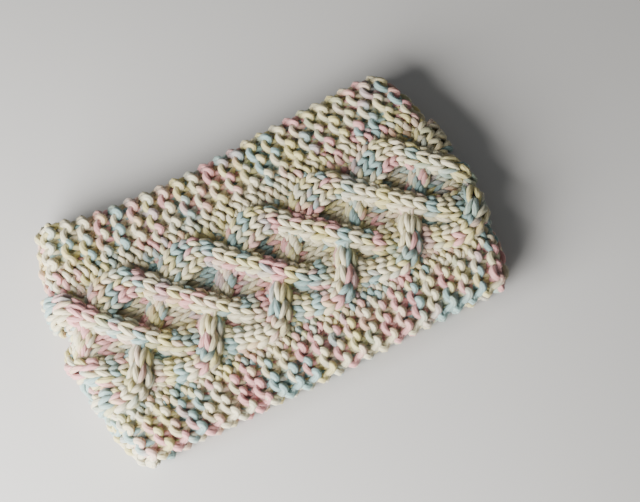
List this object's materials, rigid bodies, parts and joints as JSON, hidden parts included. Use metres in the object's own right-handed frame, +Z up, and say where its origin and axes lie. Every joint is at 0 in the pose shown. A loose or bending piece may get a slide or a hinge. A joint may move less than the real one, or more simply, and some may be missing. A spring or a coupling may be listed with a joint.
{
  "type": "cable knit headband",
  "caption": "Wide ear-warmer headband knitted from chunky yarn as one loop, lying flat in two layers, with a plaited cable between garter stitch edges.",
  "frame": {"origin": "middle of the loop as it lies flat, on the surface that it lies on", "axes": "+X along the flattened loop in the direction of knitting, +Y across its width towards the upper garter edge, +Z up from the surface"},
  "size_m": [0.2434, 0.152, 0.0304],
  "materials": {
    "variegated_yarn": "soft plied chunky yarn, cream with short runs of pale yellow, pink and blue"
  },
  "bodies": {
    "root": {"cable_panel": "variegated_yarn", "garter_edge_upper": "variegated_yarn", "garter_edge_lower": "variegated_yarn"}
  },
  "joints": []
}
